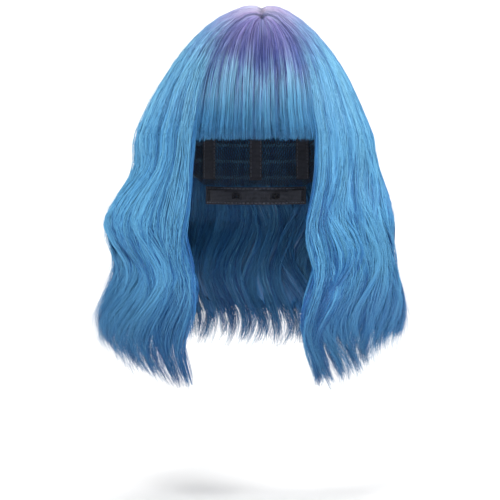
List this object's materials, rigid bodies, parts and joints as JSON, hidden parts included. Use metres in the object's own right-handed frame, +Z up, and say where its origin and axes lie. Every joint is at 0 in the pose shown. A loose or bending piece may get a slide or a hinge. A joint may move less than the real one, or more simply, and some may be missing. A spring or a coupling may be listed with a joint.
{
  "type": "costume wig",
  "caption": "Shoulder-length wavy costume wig with a straight fringe, lavender roots and blue lengths, on a stretch cap with ear tabs and nape adjusters.",
  "frame": {"origin": "the point inside the cap's crown that rests on the top of the head", "axes": "+Z up; the face looks along -Y; +X is at the right of someone who looks at the face; left and right in the names are that viewer's"},
  "size_m": [0.2868, 0.2355, 0.3485],
  "materials": {
    "hair": "soft synthetic fibre sheen, lavender at the roots and blue along the length",
    "weft_strip": "machine-sewn hair strip, matt",
    "elastic_tape": "woven elastic tape, matt",
    "cap_net": "open knitted net, matt",
    "skin_top": "thin coated cloth, satin",
    "tab_lace": "doubled knitted cloth, matt",
    "stay_plastic": "matt",
    "hook_plastic": "glossy moulded"
  },
  "bodies": {
    "wig": {"fringe": "hair", "front_lock_left": "hair", "front_lock_right": "hair", "side_hair_left": "hair", "side_hair_right": "hair", "back_hair_left": "hair", "back_hair_right": "hair", "back_hair_center": "hair", "under_side_left": "hair", "under_side_right": "hair", "nape_hair_left": "hair", "nape_hair_right": "hair", "nape_hair_center": "hair", "weft_track_1": "weft_strip", "weft_track_2": "weft_strip", "weft_track_3": "weft_strip", "weft_track_4": "weft_strip", "weft_track_5": "weft_strip", "weft_track_6": "weft_strip", "weft_track_7": "weft_strip", "weft_track_8": "weft_strip", "front_band": "elastic_tape", "nape_band": "elastic_tape", "rib_center": "elastic_tape", "rib_left": "elastic_tape", "rib_right": "elastic_tape", "ear_binding_left": "elastic_tape", "ear_binding_right": "elastic_tape", "adjuster_loops_left": "elastic_tape", "adjuster_loops_right": "elastic_tape", "strap_casing_left": "elastic_tape", "strap_casing_right": "elastic_tape", "crown_net": "cap_net", "parting_patch": "skin_top"},
    "strap_left": {"adjuster_strap_left": "elastic_tape", "adjuster_hook_left": "hook_plastic"},
    "strap_right": {"adjuster_strap_right": "elastic_tape", "adjuster_hook_right": "hook_plastic"},
    "tab_left": {"ear_tab_left": "tab_lace", "ear_tab_stay_left": "stay_plastic"},
    "tab_right": {"ear_tab_right": "tab_lace", "ear_tab_stay_right": "stay_plastic"}
  },
  "joints": [
    {"name": "strap_left_slide_round_nape", "type": "hinge", "parent": "wig", "child": "strap_left", "pos_m": [0, 0.031, -0.154], "axis": [0, 0, -1], "range_deg": [0, 18]},
    {"name": "ear_tab_left_flex", "type": "hinge", "parent": "wig", "child": "tab_left", "pos_m": [-0.0707, -0.0355, -0.0915], "axis": [0.2961, -0.9552, 0], "range_deg": [0, 25]},
    {"name": "strap_right_slide_round_nape", "type": "hinge", "parent": "wig", "child": "strap_right", "pos_m": [0, 0.031, -0.154], "axis": [0, 0, 1], "range_deg": [0, 18]},
    {"name": "ear_tab_right_flex", "type": "hinge", "parent": "wig", "child": "tab_right", "pos_m": [0.0707, -0.0355, -0.0915], "axis": [0.2961, 0.9552, 0], "range_deg": [0, 25]}
  ]
}
